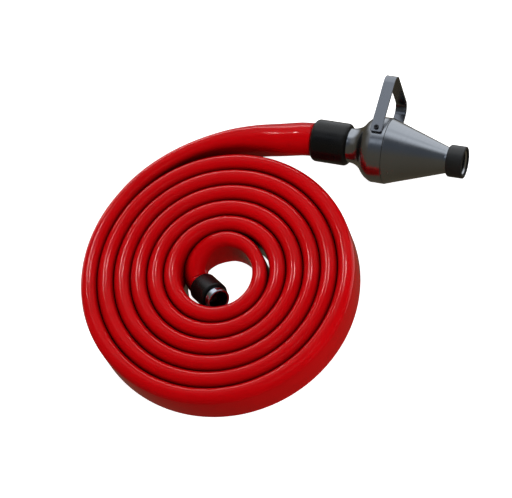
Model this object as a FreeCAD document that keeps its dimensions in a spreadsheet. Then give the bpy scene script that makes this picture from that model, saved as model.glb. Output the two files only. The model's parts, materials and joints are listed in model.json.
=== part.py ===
import FreeCAD, Part
import Sketcher
import math
import os

from FreeCAD import Placement, Rotation, Vector

# A coiled lay-flat fire hose with a conical shut-off nozzle at its outer end and a pipe
# connector at its inner end. Millimetres and degrees. The nozzle lies along +X with its
# bail handle towards +Y, and the hose is coiled flat on the same surface behind it.
# The origin is under the middle of the nozzle's own box, on the surface.
#
# Nozzle pieces are drawn along their axis: x is the distance from the rear end of the
# black nut sleeve, and r is the radius. The inlet coupling in the coil is drawn likewise.

DIMENSIONS = {
    # nozzle casting, from the hidden inlet thread to the band
    "nozzle_length": 238.0,
    "spigot_start": 36.0,
    "spigot_end": 56.0,
    "spigot_radius": 26.0,
    "neck_radius": 26.4,
    "flare_start": 59.0,
    "flare_turn": 81.1,
    "flare_turn_radius": 37.9,
    "flare_hollow": 27.0,
    "flare_crown": 33.0,
    "band_start": 98.0,
    "band_end": 119.0,
    "band_radius": 50.5,
    "waterway_radius": 18.0,
    "inlet_bore": 19.0,
    # front cone, which plugs into the band
    "plug_start": 113.4,
    "plug_radius": 43.8,
    "groove_width": 0.5,
    "groove_radius": 49.6,
    "cone_radius": 50.0,
    "cone_end": 209.3,
    "outlet_radius": 20.3,
    "outlet_end": 221.0,
    "outlet_thread": 18.2,
    "outlet_thread_start": 205.0,
    "throat_radius": 16.6,
    # eccentric shut-off valve: a segment of a sphere about the bail's pivot
    "pivot_x": 105.0,
    "pivot_y": 10.5,
    "chamber_radius": 34.0,
    "segment_radius": 33.0,
    "segment_wall": 5.0,
    "segment_reach": 22.5,
    "segment_angle": 25.0,
    "seat_gap": 0.3,
    "seat_radius": 24.0,
    "seat_end": 143.0,
    "arm_bottom": 19.5,
    "arm_thickness": 5.0,
    "arm_width": 16.0,
    "arm_hub_radius": 10.0,
    "arm_hub_top": 29.5,
    # trunnions, which carry the bail's turn into the valve
    "drive_square": 6.0,
    "drive_slack": 0.2,
    "collar_bottom": 29.8,
    "collar_top": 32.0,
    "collar_radius": 9.5,
    "stem_radius": 7.0,
    "running_gap": 0.05,
    "stem_ring_height": 39.0,
    "stem_ring_wire": 0.9,
    "screw_depth": 40.0,
    "screw_radius": 2.0,
    "head_radius": 3.5,
    "head_height": 2.2,
    "socket_radius": 1.45,
    "socket_depth": 1.3,
    # bail handle, a bent flat strap
    "strap_inner": 51.0,
    "strap_thickness": 3.2,
    "strap_width": 17.4,
    "strap_bend": 18.0,
    "strap_corner": 3.0,
    "leg_end": 3.5,
    "bail_reach": 106.5,
    # swivel nut with its black sleeve, and the tailpiece it turns on
    "sleeve_length": 57.0,
    "sleeve_radius": 32.5,
    "sleeve_edge": 7.0,
    "sleeve_round": 7.4,
    "sleeve_mouth": 27.5,
    "nut_start": 24.0,
    "nut_end": 54.8,
    "nut_radius": 29.0,
    "nut_gap": 0.08,
    "shank_neck": 22.5,
    "flange_start": 30.2,
    "flange_end": 33.0,
    "shank_radius": 21.8,
    "barb_height": 0.6,
    "barb_pitch": 6.0,
    "cuff_radius": 24.3,
    "cuff_length": 23.0,
    "ferrule_radius": 25.6,
    # mouthpiece and black tip ring
    "mouthpiece_bore": 17.0,
    "mouthpiece_end": 235.5,
    "ring_start": 212.5,
    "ring_radius": 24.4,
    "ring_chamfer": 2.2,
    # hose: a stadium section standing on its edge, coiled as an even spiral
    "hose_width": 26.0,
    "hose_height": 74.0,
    "coil_x": -200.8,
    "coil_y": -272.9,
    "coil_radius_zero": 84.7,
    "coil_phase": 58.7,
    "coil_start": -400.0,
    "coil_end": 1708.7,
    # inlet coupling in the middle of the coil, tilted up out of the hose's plane
    "inlet_x": -32.0,
    "inlet_y": -14.6,
    "inlet_z": 31.5,
    "inlet_heading": -34.0,
    "inlet_rise": 22.5,
    "inlet_sleeve_length": 38.0,
    "inlet_sleeve_radius": 22.8,
    "inlet_edge": 3.0,
    "inlet_nut_start": 16.5,
    "inlet_nut_end": 36.0,
    "inlet_nut_radius": 20.0,
    "inlet_bore": 15.2,
    "connector_radius": 18.5,
    "connector_start": 24.4,
    "connector_end": 50.5,
    "inlet_flange_start": 20.2,
    "inlet_flange_end": 22.4,
    "inlet_neck": 17.6,
    "inlet_shank": 16.6,
    "inlet_cuff_radius": 18.3,
    "inlet_cuff_length": 15.5,
    "inlet_ferrule_radius": 19.0,
}

# The route of the hose where it isn't coiled, measured from the coil's centre: from the
# last turn out to the nozzle, and from the first turn in to the inlet coupling.
TAIL_ROUTE = [
    (-180.2, 104.1, 0.0),
    (-159.0, 140.9, 0.0),
    (-127.0, 175.0, 0.0),
    (-91.0, 202.0, 0.0),
    (-49.0, 225.0, 0.5),
    (-8.0, 237.0, 3.0),
    (24.0, 240.3, 8.5),
    (48.0, 242.6, 14.5),
]
INNER_ROUTE = [
    (-8.5, 55.2, 0.0),
    (-27.0, 47.3, 0.0),
    (-40.5, 34.3, 0.0),
    (-48.4, 17.9, 0.0),
    (-50.0, 3.0, 0.0),
]

doc = FreeCAD.newDocument("FireHose")
sub_parts = []


class Size:
    """A number together with the sheet expression that it comes from."""

    def __init__(self, value, text=None):
        self.value = float(value)
        self.text = text or repr(float(value))

    def __add__(self, other):
        other = as_size(other)
        return Size(self.value + other.value, f"({self.text} + {other.text})")

    def __sub__(self, other):
        other = as_size(other)
        return Size(self.value - other.value, f"({self.text} - {other.text})")

    def __mul__(self, other):
        other = as_size(other)
        return Size(self.value * other.value, f"({self.text} * {other.text})")

    def __truediv__(self, other):
        other = as_size(other)
        return Size(self.value / other.value, f"({self.text} / {other.text})")


def as_size(number):
    return number if isinstance(number, Size) else Size(number)


class Sheet:
    """The document's spreadsheet: each dimension reads back as a Size."""

    def __init__(self, dimensions):
        cells = doc.addObject("Spreadsheet::Sheet", "Dimensions")
        for row, (alias, number) in enumerate(dimensions.items(), start=1):
            cells.set(f"A{row}", alias)
            cells.set(f"B{row}", str(number))
            cells.setAlias(f"B{row}", alias)
        doc.recompute()
        self.cells = cells

    def __getattr__(self, alias):
        return Size(getattr(self.cells, alias), f"Dimensions.{alias}")


d = Sheet(DIMENSIONS)

AXIS_Y = (d.band_radius - d.bail_reach) / 2
STRAP_OUTER = d.strap_inner + d.strap_thickness
AXIS_Z = STRAP_OUTER + d.head_height
NOZZLE_PLACE = (as_size(0) - d.nozzle_length / 2, AXIS_Y, AXIS_Z)
INLET_PLACE = (d.coil_x + d.inlet_x, d.coil_y + d.inlet_y, d.inlet_z)
PIVOT = (NOZZLE_PLACE[0] + d.pivot_x, AXIS_Y + d.pivot_y, AXIS_Z)


def place(part, position, rotation=None):
    """Puts a part at a position bound to the sheet, turned by a rotation."""
    if rotation is not None:
        part.Placement = Placement(Vector(), rotation)
    for axis, size in zip("xyz", position):
        part.setExpression(f"Placement.Base.{axis}", as_size(size).text)


def bind(part, **sizes):
    for name, size in sizes.items():
        part.setExpression(name, as_size(size).text)


def keep(part, label):
    """Names a finished sub-part and puts it on the list of files to write."""
    part.Label = label
    sub_parts.append(part)
    return part


# ---------------------------------------------------------------- sketches and bodies


def arc_through(start, end, radius, side):
    """The short arc between two points, bulging to the left (1) or right (-1) of the way."""
    chord = end - start
    left = Vector(-chord.y, chord.x, 0).normalize()
    rise = radius - math.sqrt(radius**2 - chord.Length**2 / 4)
    return Part.Arc(start, (start + end) / 2 + left * (side * rise), end)


def draw_outline(body, plane_role, corners):
    """A closed sketch. A corner is (x, y), or (x, y, radius, side) where an arc starts."""
    sketch = body.newObject("Sketcher::SketchObject", f"{body.Name}_outline")
    plane = next(f for f in body.Origin.OriginFeatures if f.Role == plane_role)
    sketch.AttachmentSupport = (plane, [""])
    sketch.MapMode = "FlatFace"
    points = [Vector(as_size(c[0]).value, as_size(c[1]).value, 0) for c in corners]
    starts = []
    ends = []
    for index, corner in enumerate(corners):
        start, end = points[index], points[(index + 1) % len(points)]
        if len(corner) == 2:
            edge = sketch.addGeometry(Part.LineSegment(start, end), False)
        else:
            radius = as_size(corner[2])
            edge = sketch.addGeometry(arc_through(start, end, radius.value, corner[3]), False)
            rule = sketch.addConstraint(Sketcher.Constraint("Radius", edge, radius.value))
            name_rule(sketch, rule, f"radius_{index}", radius)
        forwards = (sketch.getPoint(edge, 1) - start).Length < 1e-6
        starts.append((edge, 1 if forwards else 2))
        ends.append((edge, 2 if forwards else 1))
    for index, corner in enumerate(corners):
        sketch.addConstraint(Sketcher.Constraint("Coincident", *ends[index - 1], *starts[index]))
        for kind, size in (("DistanceX", as_size(corner[0])), ("DistanceY", as_size(corner[1]))):
            rule = sketch.addConstraint(
                Sketcher.Constraint(kind, -1, 1, *starts[index], size.value)
            )
            name_rule(sketch, rule, f"{kind}_{index}", size)
    return sketch


def name_rule(sketch, rule, name, size):
    sketch.renameConstraint(rule, name)
    sketch.setExpression(f"Constraints.{name}", size.text)


def turned(name, corners, position, rotation=None):
    """A body turned about its own X axis from an outline of (x, r) corners."""
    body = doc.addObject("PartDesign::Body", name)
    sketch = draw_outline(body, "XY_Plane", corners)
    turn = body.newObject("PartDesign::Revolution", f"{name}_turn")
    turn.Profile = sketch
    turn.ReferenceAxis = (sketch, ["H_Axis"])
    turn.Angle = 360
    sketch.Visibility = False
    body.Tip = turn
    place(body, position, rotation)
    return body


def tube(name, start, end, inner, outer, position, rotation=None):
    corners = [(start, inner), (start, outer), (end, outer), (end, inner)]
    return turned(name, corners, position, rotation)


# ------------------------------------------------------------------- simple solids


def cylinder(name, radius, height, position, rotation=None):
    part = doc.addObject("Part::Cylinder", name)
    bind(part, Radius=radius, Height=height)
    place(part, position, rotation)
    return part


def block(name, length, width, height, middle_bottom):
    """A box given by the middle of its bottom face."""
    part = doc.addObject("Part::Box", name)
    bind(part, Length=length, Width=width, Height=height)
    x, y, z = (as_size(size) for size in middle_bottom)
    place(part, (x - length / 2, y - width / 2, z))
    return part


def sphere(name, radius, position):
    part = doc.addObject("Part::Sphere", name)
    bind(part, Radius=radius)
    place(part, position)
    return part


def ring(name, radius, wire, position, rotation=None):
    part = doc.addObject("Part::Torus", name)
    bind(part, Radius1=radius, Radius2=wire)
    place(part, position, rotation)
    return part


def fuse(name, pieces):
    part = doc.addObject("Part::MultiFuse", name)
    part.Shapes = pieces
    return part


def cut(name, base, tool):
    part = doc.addObject("Part::Cut", name)
    part.Base = base
    part.Tool = tool
    return part


def common(name, first, second):
    part = doc.addObject("Part::MultiCommon", name)
    part.Shapes = [first, second]
    return part


ALONG_X = Rotation(Vector(0, 1, 0), 90)
UPSIDE_DOWN = Rotation(Vector(1, 0, 0), 180)


# ------------------------------------------------------------------------- nozzle


def chamber(name, radius):
    """The round valve chamber, about the bail's pivot."""
    return sphere(name, radius, PIVOT)


def nozzle_body():
    """Casting with the inlet spigot, the flare and the band that carries the bail."""
    corners = [
        (d.spigot_start, d.inlet_bore),
        (d.spigot_start, d.spigot_radius),
        (d.spigot_end, d.spigot_radius),
        (d.spigot_end, d.neck_radius),
        (d.flare_start, d.neck_radius, d.flare_hollow, -1),
        (d.flare_turn, d.flare_turn_radius, d.flare_crown, 1),
        (d.band_start, d.band_radius),
        (d.band_end, d.band_radius),
        (d.band_end, d.plug_radius + 0.2),
        (d.plug_start - 0.2, d.plug_radius + 0.2),
        (d.plug_start - 0.2, d.inlet_bore),
    ]
    casting = turned("nozzle_casting", corners, NOZZLE_PLACE)
    stem_bore = cylinder(
        "stem_bore",
        d.stem_radius + d.running_gap,
        AXIS_Z * 2,
        (PIVOT[0], PIVOT[1], 0),
    )
    hollow = fuse("body_hollow", [chamber("body_chamber", d.chamber_radius), stem_bore])
    keep(cut("nozzle_body_cut", casting, hollow), "nozzle_body")


def front_cone():
    """Conical shell that plugs into the band, down to the threaded outlet."""
    shoulder = d.band_end + 0.1
    ring_groove = d.plug_start + 1.2
    corners = [
        (d.plug_start, d.seat_radius + d.running_gap),
        (d.plug_start, d.plug_radius),
        (ring_groove, d.plug_radius),
        (ring_groove, d.plug_radius - 2),
        (ring_groove + 2, d.plug_radius - 2),
        (ring_groove + 2, d.plug_radius),
        (shoulder, d.plug_radius),
        (shoulder, d.groove_radius),
        (shoulder + d.groove_width, d.groove_radius),
        (shoulder + d.groove_width, d.cone_radius),
        (d.cone_end, d.outlet_radius),
        (d.outlet_end, d.outlet_radius),
        (d.outlet_end, d.outlet_thread),
        (d.outlet_thread_start, d.outlet_thread),
        (d.outlet_thread_start, d.throat_radius),
        (d.seat_end + 0.2, d.waterway_radius),
        (d.seat_end + 0.2, d.seat_radius + d.running_gap),
    ]
    shell = turned("cone_shell", corners, NOZZLE_PLACE)
    keep(cut("front_cone_cut", shell, chamber("cone_chamber", d.chamber_radius)), "front_cone")


def body_seal():
    """O-ring in the groove of the cone's plug."""
    x, y, z = NOZZLE_PLACE
    middle = (x + d.plug_start + 2.2, y, z)
    keep(ring("body_seal", d.plug_radius - 1, 0.95, middle, ALONG_X), "body_seal_ring")


def valve_seat():
    """Plastic seat, hollowed to the sphere that the valve segment sweeps."""
    blank = tube(
        "seat_blank",
        d.plug_start,
        d.seat_end,
        d.waterway_radius,
        d.seat_radius,
        NOZZLE_PLACE,
    )
    swept = chamber("seat_sphere", d.segment_radius + d.seat_gap)
    keep(cut("valve_seat_cut", blank, swept), "valve_seat")


def valve_segment():
    """Piece of a spherical shell on two arms, drawn along +X and turned half open."""
    origin = (0, 0, 0)
    shell = cut(
        "segment_shell",
        sphere("segment_outer", d.segment_radius, origin),
        sphere("segment_inner", d.segment_radius - d.segment_wall, origin),
    )
    trim = cylinder("segment_trim", d.segment_reach, d.chamber_radius * 1.1, origin, ALONG_X)
    pieces = [common("segment_cap", shell, trim)]
    holes = []
    arm_length = d.segment_reach
    for side, flip in (("upper", None), ("lower", UPSIDE_DOWN)):
        arm = doc.addObject("Part::Box", f"{side}_arm")
        bind(arm, Length=arm_length, Width=d.arm_width, Height=d.arm_thickness)
        bottom = d.arm_bottom if flip is None else as_size(0) - d.arm_bottom - d.arm_thickness
        place(arm, (0, as_size(0) - d.arm_width / 2, bottom))
        hub_height = d.arm_hub_top - d.arm_bottom
        hub_bottom = d.arm_bottom if flip is None else as_size(0) - d.arm_hub_top
        hole_bottom = (PIVOT[0], PIVOT[1], AXIS_Z + hub_bottom)
        hub = cylinder(f"{side}_hub", d.arm_hub_radius, hub_height, (0, 0, hub_bottom))
        pieces += [arm, hub]
        square = d.drive_square + d.drive_slack
        holes.append(block(f"{side}_drive_hole", square, square, hub_height, hole_bottom))
    envelope = sphere("segment_envelope", d.segment_radius, origin)
    solid = common("segment_solid", fuse("segment_pieces", pieces), envelope)
    place(solid, PIVOT, Rotation(Vector(0, 0, 1), d.segment_angle.value))
    keep(cut("valve_segment_cut", solid, fuse("drive_holes", holes)), "valve_segment")


def trunnion(side, flip):
    """Stem with a square drive inside, an O-ring groove and a square tenon for the bail."""
    origin = (0, 0, 0)
    drive_bottom = d.arm_bottom + 1
    drive = block(
        f"{side}_drive", d.drive_square, d.drive_square, d.collar_bottom - drive_bottom + 1,
        (0, 0, drive_bottom),
    )
    collar = cylinder(
        f"{side}_collar", d.collar_radius, d.collar_top - d.collar_bottom,
        (0, 0, d.collar_bottom),
    )
    stem = cylinder(
        f"{side}_stem", d.stem_radius, d.strap_inner - d.collar_bottom, (0, 0, d.collar_bottom)
    )
    tenon = block(
        f"{side}_tenon", d.drive_square, d.drive_square, d.strap_thickness - 0.3,
        (0, 0, d.strap_inner),
    )
    groove = cut(
        f"{side}_groove",
        cylinder(f"{side}_groove_outer", d.stem_radius + 1, d.stem_ring_wire * 2.2,
                 (0, 0, d.stem_ring_height - d.stem_ring_wire * 1.1)),
        cylinder(f"{side}_groove_inner", d.stem_radius - d.stem_ring_wire * 2, AXIS_Z, origin),
    )
    screw_hole = cylinder(
        f"{side}_screw_hole", d.screw_radius + 0.05, d.strap_inner, (0, 0, d.screw_depth - 0.5)
    )
    solid = fuse(f"{side}_trunnion_solid", [drive, collar, stem, tenon])
    removed = fuse(f"{side}_trunnion_removed", [groove, screw_hole])
    part = cut(f"{side}_trunnion_cut", solid, removed)
    place(part, PIVOT, flip)
    keep(part, f"{side}_trunnion")


def stem_seals():
    """One O-ring on each trunnion, kept as two solids of one node."""
    rings = []
    for name, height in (("upper_stem_ring", d.stem_ring_height),
                         ("lower_stem_ring", as_size(0) - d.stem_ring_height)):
        middle = (PIVOT[0], PIVOT[1], AXIS_Z + height)
        rings.append(ring(name, d.stem_radius - d.stem_ring_wire, d.stem_ring_wire, middle))
    keep(fuse("stem_rings", rings), "stem_seal_rings")


def bail_screws():
    """Cap screws with a hexagon socket, one through each end of the bail."""
    screws = []
    for side, flip in (("upper", None), ("lower", UPSIDE_DOWN)):
        shank = cylinder(
            f"{side}_screw_shank", d.screw_radius, STRAP_OUTER - d.screw_depth,
            (0, 0, d.screw_depth),
        )
        head = cylinder(f"{side}_screw_head", d.head_radius, d.head_height, (0, 0, STRAP_OUTER))
        socket = doc.addObject("Part::Prism", f"{side}_screw_socket")
        socket.Polygon = 6
        bind(socket, Circumradius=d.socket_radius, Height=d.socket_depth + 1)
        place(socket, (0, 0, AXIS_Z - d.socket_depth))
        screw = cut(f"{side}_screw", fuse(f"{side}_screw_solid", [shank, head]), socket)
        place(screw, PIVOT, flip)
        screws.append(screw)
    keep(fuse("bail_screw_pair", screws), "bail_screws")


def bail_handle():
    """Flat strap bent to a U: two legs beside the band and a grip across."""
    straight = d.bail_reach - d.strap_bend
    inner_bend = d.strap_bend - d.strap_thickness
    inner_reach = d.bail_reach - d.strap_thickness
    top = STRAP_OUTER * 2
    corners = [
        (d.leg_end, 0),
        (straight, 0, d.strap_bend, -1),
        (d.bail_reach, d.strap_bend),
        (d.bail_reach, top - d.strap_bend, d.strap_bend, -1),
        (straight, top),
        (d.leg_end, top),
        (d.leg_end, top - d.strap_thickness),
        (straight, top - d.strap_thickness, inner_bend, 1),
        (inner_reach, top - d.strap_bend),
        (inner_reach, d.strap_bend, inner_bend, 1),
        (straight, d.strap_thickness),
        (d.leg_end, d.strap_thickness),
    ]
    body = doc.addObject("PartDesign::Body", "bail_strap")
    sketch = draw_outline(body, "YZ_Plane", corners)
    pad = body.newObject("PartDesign::Pad", "bail_pad")
    pad.Profile = sketch
    pad.Midplane = True
    bind(pad, Length=d.strap_width)
    body.Tip = pad
    doc.recompute()
    ends = [
        f"Edge{number}"
        for number, edge in enumerate(pad.Shape.Edges, start=1)
        if abs(edge.Length - d.strap_thickness.value) < 1e-3
        and abs(edge.CenterOfMass.y - d.leg_end.value) < 1e-3
    ]
    rounding = body.newObject("PartDesign::Fillet", "leg_corners")
    rounding.Base = (pad, ends)
    bind(rounding, Radius=d.strap_corner)
    body.Tip = rounding
    place(body, (PIVOT[0], AXIS_Y, d.head_height))
    square = d.drive_square + d.drive_slack
    hole = block("bail_square_hole", square, square, AXIS_Z * 2, (PIVOT[0], PIVOT[1], 0))
    keep(cut("bail_handle_cut", body, hole), "bail_handle")


def mouthpiece():
    """Screwed outlet tube, with its seal and the black rubber ring around it."""
    flange_start = d.outlet_end + 1.05
    corners = [
        (d.outlet_thread_start + 0.5, d.mouthpiece_bore),
        (d.outlet_thread_start + 0.5, d.outlet_thread - 0.05),
        (flange_start, d.outlet_thread - 0.05),
        (flange_start, d.outlet_radius),
        (d.mouthpiece_end - 0.6, d.outlet_radius),
        (d.mouthpiece_end, d.outlet_radius - 0.6),
        (d.mouthpiece_end, d.mouthpiece_bore + 1.6),
        (d.mouthpiece_end - 2, d.mouthpiece_bore),
    ]
    keep(turned("mouthpiece_tube", corners, NOZZLE_PLACE), "mouthpiece")
    seal = tube(
        "mouthpiece_washer", d.outlet_end, d.outlet_end + 1, d.outlet_thread + 0.1,
        d.outlet_radius - 0.1, NOZZLE_PLACE,
    )
    keep(seal, "mouthpiece_seal")


def tip_ring():
    inner_step = d.outlet_end + 1.2
    grip = d.outlet_radius + 0.02
    sliding = d.outlet_radius + 0.3
    corners = [
        (d.ring_start, sliding),
        (d.ring_start, d.ring_radius - d.ring_chamfer),
        (d.ring_start + d.ring_chamfer, d.ring_radius),
        (d.nozzle_length - d.ring_chamfer / 2, d.ring_radius),
        (d.nozzle_length, d.ring_radius - d.ring_chamfer / 2),
        (d.nozzle_length, grip),
        (inner_step, grip),
        (inner_step, sliding),
    ]
    keep(turned("tip_ring_body", corners, NOZZLE_PLACE), "tip_ring")


# ------------------------------------------------------------- couplings on the hose


def barbed(start, end, radius, height, pitch):
    """Corners of a shank with saw-tooth barbs that hold the hose."""
    count = int((end.value - start.value) // pitch.value)
    corners = [(start, radius)]
    for step in range(count):
        tooth = start + pitch * (step + 1)
        corners.append((tooth - 0.5, radius + height))
        corners.append((tooth, radius + height))
        corners.append((tooth, radius))
    return corners


def nozzle_coupling():
    """Tailpiece in the hose's end, the nut that turns on it, and what seals and covers them."""
    shank = barbed(as_size(2), d.nut_start - 1, d.shank_radius, d.barb_height, d.barb_pitch)
    tailpiece = [(2, d.inlet_bore)] + shank + [
        (d.nut_start - 1, d.shank_radius),
        (d.nut_start - 1, d.shank_neck),
        (d.flange_start, d.shank_neck),
        (d.flange_start, d.spigot_radius),
        (d.flange_end, d.spigot_radius),
        (d.flange_end, d.inlet_bore),
    ]
    keep(turned("tailpiece_body", tailpiece, NOZZLE_PLACE), "hose_tailpiece")
    gasket = tube(
        "gasket_body", d.flange_end, d.spigot_start, d.inlet_bore + 0.3,
        d.spigot_radius - 0.1, NOZZLE_PLACE,
    )
    keep(gasket, "coupling_gasket")
    nut = [
        (d.nut_start, d.shank_neck + d.nut_gap),
        (d.nut_start, d.nut_radius),
        (d.nut_end, d.nut_radius),
        (d.nut_end, d.spigot_radius + d.nut_gap),
        (d.flange_start - 0.2, d.spigot_radius + d.nut_gap),
        (d.flange_start - 0.2, d.shank_neck + d.nut_gap),
    ]
    keep(turned("nut_body", nut, NOZZLE_PLACE), "swivel_nut")
    sleeve = [
        (0, d.cuff_radius + 0.6),
        (0, d.sleeve_mouth, d.sleeve_round, 1),
        (d.sleeve_edge, d.sleeve_radius),
        (d.sleeve_length - d.sleeve_edge, d.sleeve_radius, d.sleeve_round, 1),
        (d.sleeve_length, d.sleeve_mouth),
        (d.sleeve_length, d.neck_radius + 0.5),
        (d.nut_end + 0.1, d.neck_radius + 0.5),
        (d.nut_end + 0.1, d.nut_radius + 0.02),
        (d.nut_start - 0.1, d.nut_radius + 0.02),
        (d.nut_start - 0.1, d.ferrule_radius + 0.7),
        (2.5, d.ferrule_radius + 0.7),
        (2.5, d.cuff_radius + 0.6),
    ]
    keep(turned("nut_sleeve_body", sleeve, NOZZLE_PLACE), "nut_sleeve")
    cuff = tube(
        "cuff_body", 0.02, d.cuff_length, d.shank_radius + d.barb_height + 0.05,
        d.cuff_radius, NOZZLE_PLACE,
    )
    keep(cuff, "hose_cuff")
    ferrule = tube(
        "ferrule_body", 4.5, d.cuff_length - 2, d.cuff_radius + 0.02, d.ferrule_radius,
        NOZZLE_PLACE,
    )
    keep(ferrule, "hose_ferrule")


def inlet_rotation():
    heading = Rotation(Vector(0, 0, 1), d.inlet_heading.value)
    return heading * Rotation(Vector(0, -1, 0), d.inlet_rise.value)


def inlet_coupling():
    """The same kind of coupling, smaller, with an open pipe connector."""
    where = (INLET_PLACE, inlet_rotation())
    tailpiece = [
        (1, d.inlet_bore),
        (1, d.inlet_shank),
        (d.inlet_nut_start - 0.8, d.inlet_shank),
        (d.inlet_nut_start - 0.8, d.inlet_neck),
        (d.inlet_flange_start, d.inlet_neck),
        (d.inlet_flange_start, d.connector_radius),
        (d.inlet_flange_end, d.connector_radius),
        (d.inlet_flange_end, d.inlet_bore),
    ]
    keep(turned("inlet_tailpiece_body", tailpiece, *where), "inlet_tailpiece")
    gasket = tube(
        "inlet_gasket_body", d.inlet_flange_end, d.connector_start, d.inlet_bore + 0.3,
        d.connector_radius - 0.1, *where,
    )
    keep(gasket, "inlet_gasket")
    connector = [
        (d.connector_start, d.inlet_bore),
        (d.connector_start, d.connector_radius),
        (d.connector_end - 0.8, d.connector_radius),
        (d.connector_end, d.connector_radius - 0.8),
        (d.connector_end, d.inlet_bore + 0.8),
        (d.connector_end - 0.8, d.inlet_bore),
    ]
    keep(turned("connector_body", connector, *where), "inlet_connector")
    nut = [
        (d.inlet_nut_start, d.inlet_neck + d.nut_gap),
        (d.inlet_nut_start, d.inlet_nut_radius),
        (d.inlet_nut_end, d.inlet_nut_radius),
        (d.inlet_nut_end, d.connector_radius + d.nut_gap),
        (d.inlet_flange_start - 0.2, d.connector_radius + d.nut_gap),
        (d.inlet_flange_start - 0.2, d.inlet_neck + d.nut_gap),
    ]
    keep(turned("inlet_nut_body", nut, *where), "inlet_nut")
    edge = d.inlet_sleeve_radius - d.inlet_edge
    lip = d.connector_radius + 0.4
    sleeve = [
        (0, d.inlet_cuff_radius + 0.4),
        (0, d.inlet_cuff_radius + 1),
        (d.inlet_edge / 2, d.inlet_sleeve_radius - 0.8),
        (d.inlet_edge, d.inlet_sleeve_radius),
        (d.inlet_sleeve_length - d.inlet_edge, d.inlet_sleeve_radius, d.inlet_edge, 1),
        (d.inlet_sleeve_length, edge),
        (d.inlet_sleeve_length, lip),
        (d.inlet_nut_end + 0.1, lip),
        (d.inlet_nut_end + 0.1, d.inlet_nut_radius + 0.02),
        (1.5, d.inlet_nut_radius + 0.02),
        (1.5, d.inlet_cuff_radius + 0.4),
    ]
    keep(turned("inlet_sleeve_body", sleeve, *where), "inlet_sleeve")
    cuff = tube(
        "inlet_cuff_body", 0.02, d.inlet_cuff_length, d.inlet_shank + 0.05,
        d.inlet_cuff_radius, *where,
    )
    keep(cuff, "inlet_hose_cuff")
    ferrule = tube(
        "inlet_ferrule_body", 3, d.inlet_cuff_length - 2, d.inlet_cuff_radius + 0.02,
        d.inlet_ferrule_radius, *where,
    )
    keep(ferrule, "inlet_ferrule")


# --------------------------------------------------------------------------- hose


def spiral_point(turned_by, offset):
    """A point beside the hose's middle line after the coil has turned by an angle."""
    radius = d.coil_radius_zero.value + d.hose_width.value * turned_by / 360 + offset
    angle = math.radians(d.coil_phase.value - turned_by)
    return Vector(
        d.coil_x.value + radius * math.cos(angle),
        d.coil_y.value + radius * math.sin(angle),
        0,
    )


def spiral_wall(start, offset):
    """One full turn of a wall of the coil, as eight arcs."""
    step = 360 / 8
    edges = []
    for count in range(8):
        angles = [start + step * (count + part) for part in (0, 0.5, 1)]
        edges.append(Part.Arc(*[spiral_point(a, offset) for a in angles]).toShape())
    return edges


def closed_turn(start, offset):
    """A turn of wall closed by the step across one hose."""
    edges = spiral_wall(start, offset)
    edges.append(Part.LineSegment(
        spiral_point(start + 360, offset), spiral_point(start, offset)
    ).toShape())
    return Part.Wire(Part.__sortEdges__(edges))


def hose_coil():
    """Closed solid of the outer shape of the whole coil, edges taken off."""
    half = d.hose_width.value / 2
    outside = closed_turn(d.coil_end.value - 360, half)
    hole = closed_turn(d.coil_start.value, -half)
    height = Vector(0, 0, d.hose_height.value)
    solid = Part.Face(outside).extrude(height).cut(Part.Face(hole).extrude(height))
    add_shape("hose_coil", solid)


def add_shape(label, shape):
    feature = doc.addObject("Part::Feature", label)
    feature.Shape = shape
    feature.Placement = Placement()
    keep(feature, label)


def section(middle, heading, width, height):
    """Upright stadium outline of the hose, across its heading."""
    across = Vector(-heading.y, heading.x, 0).normalize()
    up = Vector(0, 0, 1)
    flat = (height - width) / 2
    round_part = width / 2

    def point(side, rise):
        return middle + across * side + up * rise

    top = Part.Arc(point(-round_part, flat), point(0, flat + round_part), point(round_part, flat))
    bottom = Part.Arc(
        point(round_part, -flat), point(0, -flat - round_part), point(-round_part, -flat)
    )
    right = Part.LineSegment(point(round_part, flat), point(round_part, -flat))
    left = Part.LineSegment(point(-round_part, -flat), point(-round_part, flat))
    return Part.Wire([edge.toShape() for edge in (top, right, bottom, left)])


def round_section(middle, heading, radius):
    """Circle as four arcs that match the four edges of a stadium outline."""
    across = Vector(-heading.y, heading.x, 0).normalize()
    up = heading.cross(across).normalize()
    if up.z < 0:
        up = up * -1

    def point(angle):
        turn = math.radians(angle)
        return middle + across * (radius * math.cos(turn)) + up * (radius * math.sin(turn))

    quarters = [(150, 90, 30), (30, 0, -30), (-30, -90, -150), (-150, -180, -210)]
    arcs = [Part.Arc(*[point(angle) for angle in quarter]) for quarter in quarters]
    return Part.Wire([arc.toShape() for arc in arcs])


def route_points(route):
    origin = Vector(d.coil_x.value, d.coil_y.value, d.hose_height.value / 2)
    return [origin + Vector(*point) for point in route]


def route_wire(label, points):
    """Straight runs joined by tangent arcs, each as large as its two runs allow."""
    edges = []
    at = points[0]
    for before, corner, after in zip(points, points[1:], points[2:]):
        into = (corner - before).normalize()
        out = (after - corner).normalize()
        half_turn = into.getAngle(out) / 2
        reach = 0.45 * min((corner - before).Length, (after - corner).Length)
        radius = reach / math.tan(half_turn)
        start, end = corner - into * reach, corner + out * reach
        towards = (out - into).normalize()
        middle = corner + towards * (radius / math.cos(half_turn) - radius)
        edges.append(Part.LineSegment(at, start).toShape())
        edges.append(Part.Arc(start, middle, end).toShape())
        at = end
        print(label, "arc radius", round(radius, 1))
    edges.append(Part.LineSegment(at, points[-1]).toShape())
    return Part.Wire(edges)


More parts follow.
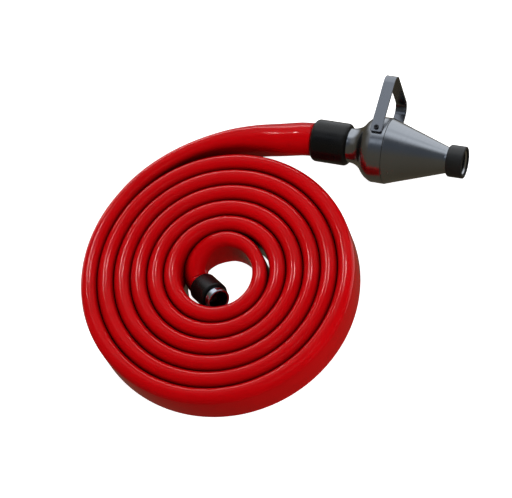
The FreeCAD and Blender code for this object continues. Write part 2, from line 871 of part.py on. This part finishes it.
def swept_hose(label, route):
    """The plain hose section carried along its route, always upright."""
    points = route_points(route)
    path = route_wire(label, points)
    width, height = d.hose_width.value, d.hose_height.value
    start = section(points[0], points[1] - points[0], width, height)
    sweep = Part.BRepOffsetAPI.MakePipeShell(path)
    sweep.setBiNormalMode(Vector(0, 0, 1))
    sweep.add(start)
    sweep.build()
    sweep.makeSolid()
    shape = sweep.shape()
    area = width * (height - width) + math.pi * width**2 / 4
    print(label, "length", round(path.Length, 1), "volume ratio",
          round(shape.Volume / (area * path.Length), 4))
    add_shape(label, shape)
    return points[-1], (points[-1] - points[-2]).normalize()


def tapered_hose(label, start, heading, end, end_heading, end_radius):
    """The hose drawing in from its flat section to the round end in a coupling."""
    first = section(start, heading, d.hose_width.value, d.hose_height.value)
    last = round_section(end, end_heading, end_radius)
    add_shape(label, Part.makeLoft([first, last], True, True))


def hose():
    hose_coil()
    start, heading = swept_hose("hose_tail", TAIL_ROUTE)
    nozzle_end = Vector(*[size.value for size in NOZZLE_PLACE])
    tapered_hose("hose_taper", start, heading, nozzle_end, Vector(1, 0, 0), d.cuff_radius.value)
    start, heading = swept_hose("hose_inner_end", INNER_ROUTE)
    inlet_end = Vector(*[size.value for size in INLET_PLACE])
    inlet_heading = inlet_rotation().multVec(Vector(1, 0, 0))
    tapered_hose(
        "hose_inner_taper", start, heading, inlet_end, inlet_heading, d.inlet_cuff_radius.value
    )


def build():
    nozzle_body()
    front_cone()
    body_seal()
    valve_seat()
    valve_segment()
    trunnion("upper", None)
    trunnion("lower", UPSIDE_DOWN)
    stem_seals()
    bail_handle()
    bail_screws()
    mouthpiece()
    tip_ring()
    nozzle_coupling()
    inlet_coupling()
    hose()
    doc.recompute()


def check():
    """Stops on any failed object or bad shape before a file is written."""
    for item in doc.Objects:
        if "Invalid" in item.State or "Error" in item.State:
            raise RuntimeError(f"{item.Label} failed: {item.State}")
    for part in sub_parts:
        if part.Shape.isNull() or not part.Shape.isValid():
            raise RuntimeError(f"{part.Label} has no valid shape")
        if not part.Shape.Solids:
            raise RuntimeError(f"{part.Label} holds no solid")


def write():
    os.makedirs("parts", exist_ok=True)
    for part in sub_parts:
        part.Shape.exportStep(os.path.join("parts", f"{part.Label}.step"))
        print(part.Label, len(part.Shape.Solids), "solids", round(part.Shape.Volume, 1), "mm3")


build()
check()
write()
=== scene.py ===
"""Looks of the coiled fire hose with its shut-off nozzle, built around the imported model.

The frame is the model's own, in metres: +X along the nozzle towards its outlet, +Y towards
the bail handle, +Z up. The hose lies on the floor at z = 0. Metal and rubber pieces are the
model's own meshes with materials; the hose is one new tube round a line.
"""

import json
import math

import bpy
from mathutils import Matrix, Vector


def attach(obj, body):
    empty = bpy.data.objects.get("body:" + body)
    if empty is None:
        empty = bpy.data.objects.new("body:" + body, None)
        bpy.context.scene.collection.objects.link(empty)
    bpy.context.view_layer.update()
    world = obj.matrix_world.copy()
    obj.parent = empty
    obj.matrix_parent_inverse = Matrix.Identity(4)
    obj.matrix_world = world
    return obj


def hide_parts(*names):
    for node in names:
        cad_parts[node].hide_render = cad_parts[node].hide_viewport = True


MM = 0.001

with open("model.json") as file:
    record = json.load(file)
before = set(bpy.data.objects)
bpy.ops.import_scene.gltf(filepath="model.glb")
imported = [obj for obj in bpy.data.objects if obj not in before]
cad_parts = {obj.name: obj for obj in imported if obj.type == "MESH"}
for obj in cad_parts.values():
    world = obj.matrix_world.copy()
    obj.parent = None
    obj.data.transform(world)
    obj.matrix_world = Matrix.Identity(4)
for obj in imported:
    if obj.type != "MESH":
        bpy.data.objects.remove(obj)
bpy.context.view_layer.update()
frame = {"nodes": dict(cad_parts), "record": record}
nodes = frame["nodes"]

# ------------------------------------------------------------------ measures, in mm

COIL_CENTRE = (-200.8, -272.9)
HOSE_WIDTH = 25.7
HOSE_HEIGHT = 74.0

# The coil is a spiral whose radius grows by one pitch per turn. How far it has turned is in
# degrees.
PITCH = 26.0
COIL_RADIUS_ZERO = 84.7
COIL_PHASE = 58.7
COIL_START = -400.0
COIL_END = 1708.7
POINTS_PER_TURN = 24

# The hose is round in its couplings, and changes to its tall section from there.
NOZZLE_ROUND = 51.0
NOZZLE_CHANGE = 200.0
INLET_ROUND = 38.0
INLET_GRIP = 12.0
INLET_CHANGE = 85.0

# A pinch in the innermost turn opens a gap to the next turn. Its place is along the hose,
# from the inner end.
PINCH = 4.2
PINCH_AT = 160.0
PINCH_REACH = 70.0

# The hose's tube: points round each ring, and rings from one control point to the next.
# A ring nearer to the one before it than the smallest gap is left out.
SECTION_POINTS = 56
RINGS_PER_SPAN = 7
SMALLEST_GAP = 0.1
SPLINE_ORDER = 3

# From the nozzle's coupling to the coil, and from the coil to the inlet coupling,
# measured from the coil's centre at half the hose's height.
NOZZLE_END = (81.8, 244.9, 19.4)
TAIL_ROUTE = [
    (66.0, 244.2, 19.0),
    (48.0, 242.6, 14.5),
    (24.0, 240.3, 8.5),
    (-8.0, 237.0, 3.0),
    (-49.0, 225.0, 0.5),
    (-91.0, 202.0, 0.0),
    (-127.0, 175.0, 0.0),
    (-159.0, 140.9, 0.0),
]
INNER_ROUTE = [
    (-27.0, 47.3, 0.0),
    (-40.5, 34.3, 0.0),
    (-48.4, 17.9, 0.0),
    (-49.0, 3.5, -4.0),
    (-42.0, -7.8, -9.5),
]
INLET_END = (-32.0, -14.6, -5.5)

# -------------------------------------------------------------------------- camera

CAMERA_PLACE = Vector((0.8355, -1.4139, 2.9858))
CAMERA_FORWARD = Vector((-0.30015, 0.35931, -0.88364))
CAMERA_RIGHT = Vector((0.94021, 0.26779, -0.21047))
LENS = 154.7
SENSOR = 36.0


def make_camera():
    """Long lens, high up on the near side. Its slight roll is in the right-hand vector."""
    data = bpy.data.cameras.new("camera")
    data.lens = LENS
    data.sensor_width = SENSOR
    camera = bpy.data.objects.new("camera", data)
    bpy.context.scene.collection.objects.link(camera)
    up = CAMERA_RIGHT.cross(CAMERA_FORWARD)
    turn = Matrix((CAMERA_RIGHT, up, -CAMERA_FORWARD)).transposed()
    camera.matrix_world = Matrix.Translation(CAMERA_PLACE) @ turn.to_4x4()
    bpy.context.scene.camera = camera


make_camera()

# ------------------------------------------------------------------------- the hose


def coil_point(turned):
    """Control point of the hose's line after the coil has turned by some degrees."""
    radius = COIL_RADIUS_ZERO + PITCH * turned / 360
    radius /= math.cos(math.pi / POINTS_PER_TURN)
    angle = math.radians(COIL_PHASE - turned)
    return (radius * math.cos(angle), radius * math.sin(angle), 0.0)


def hose_route():
    """Control points from the nozzle's coupling, round the coil inwards, to the inlet."""
    points = [NOZZLE_END] + TAIL_ROUTE
    steps = round((COIL_END - COIL_START) / 360 * POINTS_PER_TURN)
    for step in range(steps + 1):
        points.append(coil_point(COIL_END + (COIL_START - COIL_END) * step / steps))
    points += INNER_ROUTE + [INLET_END]
    middle = Vector((*COIL_CENTRE, HOSE_HEIGHT / 2))
    return [(middle + Vector(point)) * MM for point in points]


def nurbs_line(name, points):
    """The points that a NURBS spline with these control points runs through."""
    curve = bpy.data.curves.new(name, "CURVE")
    curve.dimensions = "3D"
    curve.resolution_u = RINGS_PER_SPAN
    spline = curve.splines.new("NURBS")
    spline.points.add(len(points) - 1)
    for control, point in zip(spline.points, points):
        control.co = (*point, 1.0)
    spline.order_u = SPLINE_ORDER
    spline.use_endpoint_u = True
    carrier = bpy.data.objects.new(name, curve)
    bpy.context.scene.collection.objects.link(carrier)
    mesh = bpy.data.meshes.new_from_object(carrier)
    line = [mesh.vertices[0].co.copy()]
    for vertex in mesh.vertices:
        if (vertex.co - line[-1]).length > SMALLEST_GAP * MM:
            line.append(vertex.co.copy())
    bpy.data.objects.remove(carrier)
    bpy.data.meshes.remove(mesh)
    return line


def lengths_along(line):
    """Distance of each point from the line's start."""
    total = [0.0]
    for before, after in zip(line, line[1:]):
        total.append(total[-1] + (after - before).length)
    return total


def smooth_step(value):
    """0 up to 0, 1 from 1 on, and a soft S between them."""
    value = min(max(value, 0.0), 1.0)
    return value * value * (3 - 2 * value)


line = nurbs_line("hose_line", hose_route())
along = lengths_along(line)


def stadium(width, height, count):
    """Points of an upright stadium, from its top round to its top again."""
    half, flat = width / 2, (height - width) / 2
    points = []
    for step in range(count):
        turn = 2 * math.pi * (step + 0.5) / count
        side, rise = math.sin(turn), math.cos(turn)
        points.append((half * side, half * rise + math.copysign(flat, rise)))
    return points


def section_at(distance, total):
    """Width and height of the hose's section at a distance from the nozzle, in metres."""
    left = total - distance
    out = smooth_step(distance / (NOZZLE_CHANGE * MM))
    into = smooth_step((left - INLET_GRIP * MM) / (INLET_CHANGE * MM))
    pinched = smooth_step(1 - abs(left - PINCH_AT * MM) / (PINCH_REACH * MM))
    width = NOZZLE_ROUND + (HOSE_WIDTH - NOZZLE_ROUND) * out
    height = NOZZLE_ROUND + (HOSE_HEIGHT - NOZZLE_ROUND) * out
    width = INLET_ROUND + (width - INLET_ROUND) * into
    height = INLET_ROUND + (height - INLET_ROUND) * into
    return (width - PINCH * pinched) * MM, height * MM


def hose_rings():
    """The hose's vertices, ring by ring. Where it is pinched, its inner side stays in place."""
    verts = []
    last = len(line) - 1
    for index, point in enumerate(line):
        ahead = line[min(index + 1, last)] - line[max(index - 1, 0)]
        ahead.normalize()
        across = Vector((0, 0, 1)).cross(ahead).normalized()
        up = ahead.cross(across)
        width, height = section_at(along[index], along[-1])
        inward = max(HOSE_WIDTH * MM - width, 0) / 2
        for side, rise in stadium(width, height, SECTION_POINTS):
            verts.append(point + across * (side + inward) + up * rise)
    return verts


def make_hose():
    """A closed tube: quads between neighbouring rings, and a cap at each end."""
    faces = []
    for start in range(0, (len(line) - 1) * SECTION_POINTS, SECTION_POINTS):
        for step in range(SECTION_POINTS):
            a = start + step
            b = start + (step + 1) % SECTION_POINTS
            faces.append((a, a + SECTION_POINTS, b + SECTION_POINTS, b))
    far_end = (len(line) - 1) * SECTION_POINTS
    faces.append(tuple(range(SECTION_POINTS)))
    faces.append(tuple(reversed(range(far_end, far_end + SECTION_POINTS))))
    mesh = bpy.data.meshes.new("hose")
    mesh.from_pydata(hose_rings(), [], faces)
    mesh.polygons.foreach_set("use_smooth", [True] * len(mesh.polygons))
    hose = bpy.data.objects.new("hose", mesh)
    bpy.context.scene.collection.objects.link(hose)
    return hose


hose = make_hose()
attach(hose, "nozzle_and_hose")
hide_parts("hose_coil", "hose_tail", "hose_taper", "hose_inner_end", "hose_inner_taper")

# ------------------------------------------------------------------------ materials

SHELTER_SAMPLES = 8
BEVEL_SAMPLES = 10

# Cosines of the angle between a face and its rounded normal: where an edge begins to show,
# and where it shows fully.
EDGE_BEGINS = 0.985
EDGE_FULL = 0.90


class Look:
    """A Principled material, with short ways to add textures to it."""

    def __init__(self, name, constants):
        self.material = bpy.data.materials.new(name)
        self.material.use_nodes = True
        self.tree = self.material.node_tree
        self.shader = self.tree.nodes["Principled BSDF"]
        for socket, value in constants.items():
            self.shader.inputs[socket].default_value = value
        self.place = self.tree.nodes.new("ShaderNodeTexCoord").outputs["Object"]

    def feed(self, node, socket, value):
        """Link an output, or set a plain value."""
        if isinstance(value, bpy.types.NodeSocket):
            self.tree.links.new(value, node.inputs[socket])
        else:
            node.inputs[socket].default_value = value

    def noise(self, scale, detail=3.0, stretch=(1, 1, 1)):
        """Noise with some features per metre, finer along the axes with a larger stretch."""
        mapping = self.tree.nodes.new("ShaderNodeMapping")
        self.feed(mapping, "Vector", self.place)
        self.feed(mapping, "Scale", stretch)
        texture = self.tree.nodes.new("ShaderNodeTexNoise")
        self.feed(texture, "Vector", mapping.outputs[0])
        self.feed(texture, "Scale", scale)
        self.feed(texture, "Detail", detail)
        return texture.outputs["Fac"]

    def remap(self, value, low, high, start=0.3, end=0.7):
        """Map start..end of a value to low..high."""
        node = self.tree.nodes.new("ShaderNodeMapRange")
        self.feed(node, "Value", value)
        self.feed(node, "From Min", start)
        self.feed(node, "From Max", end)
        self.feed(node, "To Min", low)
        self.feed(node, "To Max", high)
        return node.outputs["Result"]

    def mix(self, factor, first, second):
        """The first colour where the factor is 0, the second where it is 1."""
        node = self.tree.nodes.new("ShaderNodeMix")
        node.data_type = "RGBA"
        self.feed(node, 0, factor)
        self.feed(node, 6, first)
        self.feed(node, 7, second)
        return node.outputs[2]

    def math(self, operation, first, second=0.0):
        node = self.tree.nodes.new("ShaderNodeMath")
        node.operation = operation
        self.feed(node, 0, first)
        self.feed(node, 1, second)
        return node.outputs[0]

    def sheltered(self, reach, start, end):
        """0 in the open, rising to 1 where surfaces within reach, in mm, shade a point."""
        node = self.tree.nodes.new("ShaderNodeAmbientOcclusion")
        node.samples = SHELTER_SAMPLES
        self.feed(node, "Distance", reach * MM)
        return self.remap(node.outputs["AO"], 0.0, 1.0, start, end)

    def bevel(self, radius):
        """Normals as if the edges were rounded, with a radius in mm."""
        node = self.tree.nodes.new("ShaderNodeBevel")
        node.samples = BEVEL_SAMPLES
        self.feed(node, "Radius", radius * MM)
        return node.outputs[0]

    def edges(self, rounded):
        """1 along the edges that the rounded normals soften, 0 elsewhere."""
        dot = self.tree.nodes.new("ShaderNodeVectorMath")
        dot.operation = "DOT_PRODUCT"
        self.feed(dot, 0, rounded)
        self.feed(dot, 1, self.tree.nodes.new("ShaderNodeNewGeometry").outputs["Normal"])
        return self.remap(dot.outputs["Value"], 0.0, 1.0, EDGE_BEGINS, EDGE_FULL)

    def bump(self, height, depth, normal=None):
        """Bumps of a depth in mm on top of a normal."""
        node = self.tree.nodes.new("ShaderNodeBump")
        self.feed(node, "Height", height)
        self.feed(node, "Distance", depth * MM)
        if normal:
            self.feed(node, "Normal", normal)
        return node.outputs[0]

    def finish(self, color, roughness, normal):
        """The material, once its shader has these."""
        self.feed(self.shader, "Base Color", color)
        self.feed(self.shader, "Roughness", roughness)
        self.feed(self.shader, "Normal", normal)
        return self.material


def tone(color, factor):
    """A colour made lighter or darker, with its alpha."""
    return (*(min(channel * factor, 1.0) for channel in color), 1.0)


def metal(name, color, roughness, rounding=0.5, grain=(260, 9, 9), relief=0.001, patches=0.03):
    """Turned or brushed metal: fine lines, dull patches, painted edge highlights and painted shade in
    corners.
    """
    look = Look(name, {"Metallic": 1.0})
    lines = look.noise(1.0, 4.0, grain)
    cloud = look.noise(22.0, 4.0)
    specks = look.noise(900.0, 2.0)
    rounded = look.bevel(rounding)
    shade = look.mix(look.remap(cloud, 0, 1), tone(color, 1 - patches), tone(color, 1 + patches))
    shade = look.mix(look.remap(lines, 0, 0.35), shade, tone(color, 1 - 2 * patches))
    shade = look.mix(look.remap(specks, 0, 0.5, 0.70, 0.80), shade, tone(color, 0.6))
    # Painted highlight: lighter along the rounded edges.
    shade = look.mix(look.math("MULTIPLY", look.edges(rounded), 0.25), shade, tone(color, 1.4))
    # Painted shade: much darker where nearby surfaces shelter a point, in seams and hollows.
    shade = look.mix(look.sheltered(9, 0.62, 0.20), shade, tone(color, 0.12))
    rough = look.math("ADD", look.remap(cloud, roughness - 0.04, roughness + 0.05),
                      look.remap(lines, -0.02, 0.03))
    return look.finish(shade, rough, look.bump(lines, relief, rounded))


def rubber(name, color, roughness, rounding=0.8, relief=0.02, level=0.5):
    """Moulded rubber: a fine skin, rubbed greyer patches and painted highlights on its rounded edges.
    """
    look = Look(name, {"Specular IOR Level": level})
    skin = look.noise(1400.0, 2.0)
    cloud = look.noise(30.0, 5.0)
    rounded = look.bevel(rounding)
    shade = look.mix(look.remap(cloud, 0, 1), tone(color, 0.75), tone(color, 1.5))
    # Painted highlight: much lighter along the rounded edges.
    shade = look.mix(look.math("MULTIPLY", look.edges(rounded), 0.5), shade, tone(color, 3.0))
    rough = look.math("ADD", look.remap(cloud, roughness - 0.05, roughness + 0.07),
                      look.remap(skin, -0.03, 0.03))
    return look.finish(shade, rough, look.bump(skin, relief, rounded))


def hose_skin():
    """Smooth PVC over a woven jacket: faint mottling, scuffs, a soft wobble, painted shade in the
    grooves.
    """
    look = Look("hose_red", {"Specular IOR Level": 0.06})
    mottle = look.noise(9.0, 4.0)
    grime = look.noise(70.0, 5.0)
    wobble = look.noise(38.0, 2.0)
    weave = look.noise(1500.0, 1.0)
    shade = look.mix(look.remap(mottle, 0, 1), (0.60, 0.0014, 0.0035, 1), (0.68, 0.0020, 0.0045, 1))
    shade = look.mix(look.remap(grime, 0, 0.25, 0.62, 0.80), shade, (0.40, 0.006, 0.008, 1))
    # Painted shade: dark in the grooves between the turns, where neighbouring turns shelter the wall.
    shade = look.mix(look.sheltered(26, 0.80, 0.16), shade, (0.06, 0.0004, 0.0008, 1))
    rough = look.math("ADD", look.remap(mottle, 0.09, 0.115), look.remap(grime, -0.01, 0.04))
    relief = look.bump(wobble, 0.15)
    return look.finish(shade, rough, look.bump(weave, 0.002, relief))


LOOKS = {
    "nozzle_metal": metal("nozzle_metal", (0.31, 0.325, 0.35), 0.20, 1.4),
    "bail_metal": metal("bail_metal", (0.20, 0.212, 0.235), 0.22, 0.8, (420, 12, 12), 0.0003, 0.02),
    "mouthpiece_metal": metal("mouthpiece_metal", (0.44, 0.45, 0.47), 0.24, 0.3),
    "coupling_metal": metal("coupling_metal", (0.48, 0.50, 0.53), 0.30, 0.4),
    "connector_chrome": metal("connector_chrome", (0.48, 0.52, 0.60), 0.16, 0.5, (60, 60, 60), 0.002),
    "valve_metal": metal("valve_metal", (0.58, 0.59, 0.61), 0.12, 0.3, (60, 60, 60), 0.002),
    "stem_steel": metal("stem_steel", (0.50, 0.50, 0.51), 0.34, 0.3),
    "screw_steel": metal("screw_steel", (0.035, 0.035, 0.038), 0.38, 0.3, (90, 90, 90)),
    "sleeve_rubber": rubber("sleeve_rubber", (0.0035, 0.0035, 0.0035), 0.27, 1.2, level=0.3),
    "tip_rubber": rubber("tip_rubber", (0.007, 0.007, 0.007), 0.42, 1.0),
    "seal_rubber": rubber("seal_rubber", (0.012, 0.012, 0.012), 0.55, 0.2),
    "seat_plastic": rubber("seat_plastic", (0.55, 0.55, 0.52), 0.40, 0.3, 0.004),
    "hose_red": hose_skin(),
}
hose.data.materials.append(LOOKS["hose_red"])
for entry in frame["record"]["subparts"]:
    for material_slot in nodes[entry["node"]].material_slots:
        material_slot.material = LOOKS[entry["material_slot"]]

# --------------------------------------------------------------------------- stage

# Walls of the studio, seen in reflections only: share of the way from straight down to
# straight up, and colour there.
WALLS = [
    (0.20, (0.118, 0.098, 0.066)),
    (0.85, (0.15, 0.135, 0.105)),
    (0.98, (0.11, 0.13, 0.16)),
]

# Soft panels on the walls: azimuth, elevation, and the half-angles inside which they are
# full and outside which they end, all in degrees, and the colour that they add. A negative
# colour darkens the wall.
PANELS = [
    (358, 18, 36, 60, (1.08, 1.14, 1.22)),
    (14, 34, 4, 10, (-0.30, -0.30, -0.30)),
    (275, 80, 4, 12, (0.60, 0.64, 0.70)),
    (290, 45, 6, 32, (0.22, 0.23, 0.25)),
]

# Area lights: azimuth, elevation, width and height in degrees, and radiance. Only the hose
# sees the highlights, as reflections: thin lines on its turns and pale bands on its wall.
HIGHLIGHTS = {
    "back_strip": (8, 67, 10, 5, 72.0),
    "left_strip": (298, 54, 7, 6, 72.0),
    "horizon": (335, 12, 80, 12, 11.0),
    "right_panel": (52, -22, 36, 50, 2.6),
    "left_panel": (300, -20, 56, 50, 1.7),
}

# The fills light everything and show in no reflection. The low ones stand in for the light
# that a white floor throws back.
FILLS = {
    "back_fill": (8, 67, 30, 30, 2.2),
    "left_fill": (312, 52, 30, 30, 3.8),
    "near_fill": (120, 58, 30, 30, 4.5),
    "side_fill": (92, -6, 60, 16, 4.6),
    "left_side_fill": (275, 4, 50, 16, 3.0),
    "low_fill": (205, -12, 60, 16, 2.2),
}
LIGHT_DISTANCE = 2.4
LIT_CENTRE = Vector((-0.15, -0.2, 0.04))

FLOOR_HALF = 30.0
FLOOR_DROP = 0.0005


def direction(azimuth, elevation):
    """Unit vector: azimuth 0 is +Y, 90 is +X."""
    turn, rise = math.radians(azimuth), math.radians(elevation)
    return Vector((math.sin(turn) * math.cos(rise), math.cos(turn) * math.cos(rise), math.sin(rise)))


def make_floor():
    """Plain white floor, which the camera sees and which casts neither light nor shadow."""
    corners = [(-1, -1, 0), (1, -1, 0), (1, 1, 0), (-1, 1, 0)]
    mesh = bpy.data.meshes.new("floor")
    mesh.from_pydata([Vector(corner) * FLOOR_HALF for corner in corners], [], [(0, 1, 2, 3)])
    floor = bpy.data.objects.new("floor", mesh)
    floor.location.z = -FLOOR_DROP
    bpy.context.scene.collection.objects.link(floor)
    look = Look("floor_paint", {"Emission Color": (1, 1, 1, 1), "Emission Strength": 1.0})
    cloud = look.noise(3.0)
    shade = look.mix(cloud, (0.8, 0.8, 0.8, 1), (0.9, 0.9, 0.9, 1))
    mesh.materials.append(look.finish(shade, 0.9, look.bump(cloud, 0.1)))
    floor.visible_glossy = False
    floor.visible_diffuse = False
    floor.visible_shadow = False


def soft_light(name, azimuth, elevation, wide, high, radiance):
    """Rectangular area light that faces the middle of the object."""
    width = 2 * LIGHT_DISTANCE * math.tan(math.radians(wide / 2))
    height = 2 * LIGHT_DISTANCE * math.tan(math.radians(high / 2))
    data = bpy.data.lights.new(name, "AREA")
    data.shape = "RECTANGLE"
    data.size = width
    data.size_y = height
    data.energy = radiance * math.pi * width * height
    light = bpy.data.objects.new(name, data)
    away = direction(azimuth, elevation)
    light.location = LIT_CENTRE + away * LIGHT_DISTANCE
    light.rotation_mode = "QUATERNION"
    light.rotation_quaternion = away.to_track_quat("Z", "Y")
    bpy.context.scene.collection.objects.link(light)
    return light


def make_lights():
    hose_only = bpy.data.collections.new("hose_only")
    hose_only.objects.link(hose)
    for name, values in HIGHLIGHTS.items():
        light = soft_light(name, *values)
        light.visible_diffuse = False
        light.light_linking.receiver_collection = hose_only
    for name, values in FILLS.items():
        light = soft_light(name, *values)
        light.visible_glossy = False


def wall_color(tree, facing):
    """Colour of the studio's walls by height."""
    apart = tree.nodes.new("ShaderNodeSeparateXYZ")
    tree.links.new(facing, apart.inputs[0])
    share = tree.nodes.new("ShaderNodeMapRange")
    share.inputs["From Min"].default_value = -1
    tree.links.new(apart.outputs["Z"], share.inputs["Value"])
    walls = tree.nodes.new("ShaderNodeValToRGB")
    tree.links.new(share.outputs["Result"], walls.inputs["Fac"])
    ramp = walls.color_ramp
    lowest, between, highest = WALLS
    for element, (position, color) in zip(ramp.elements, (lowest, highest)):
        element.position = position
        element.color = (*color, 1)
    position, color = between
    ramp.elements.new(position).color = (*color, 1)
    return walls.outputs["Color"]


def add_panel(tree, facing, total, azimuth, elevation, inner, outer, color):
    """The total so far with one soft round panel added."""
    dot = tree.nodes.new("ShaderNodeVectorMath")
    dot.operation = "DOT_PRODUCT"
    tree.links.new(facing, dot.inputs[0])
    dot.inputs[1].default_value = direction(azimuth, elevation)
    fade = tree.nodes.new("ShaderNodeMapRange")
    fade.interpolation_type = "SMOOTHSTEP"
    fade.inputs["From Min"].default_value = math.cos(math.radians(outer))
    fade.inputs["From Max"].default_value = math.cos(math.radians(inner))
    tree.links.new(dot.outputs["Value"], fade.inputs["Value"])
    panel = tree.nodes.new("ShaderNodeVectorMath")
    panel.operation = "MULTIPLY_ADD"
    panel.inputs[0].default_value = color
    tree.links.new(fade.outputs["Result"], panel.inputs[1])
    tree.links.new(total, panel.inputs[2])
    return panel.outputs["Vector"]


def make_world():
    """Studio walls that the shiny surfaces reflect: brown below, cooler above, with panels."""
    world = bpy.data.worlds.new("studio")
    world.use_nodes = True
    tree = world.node_tree
    facing = tree.nodes.new("ShaderNodeTexCoord").outputs["Generated"]
    total = wall_color(tree, facing)
    for panel in PANELS:
        total = add_panel(tree, facing, total, *panel)
    tree.links.new(total, tree.nodes["Background"].inputs["Color"])
    bpy.context.scene.world = world
    world.cycles_visibility.diffuse = False


make_floor()
make_world()
make_lights()
bpy.context.scene.view_settings.view_transform = "Standard"
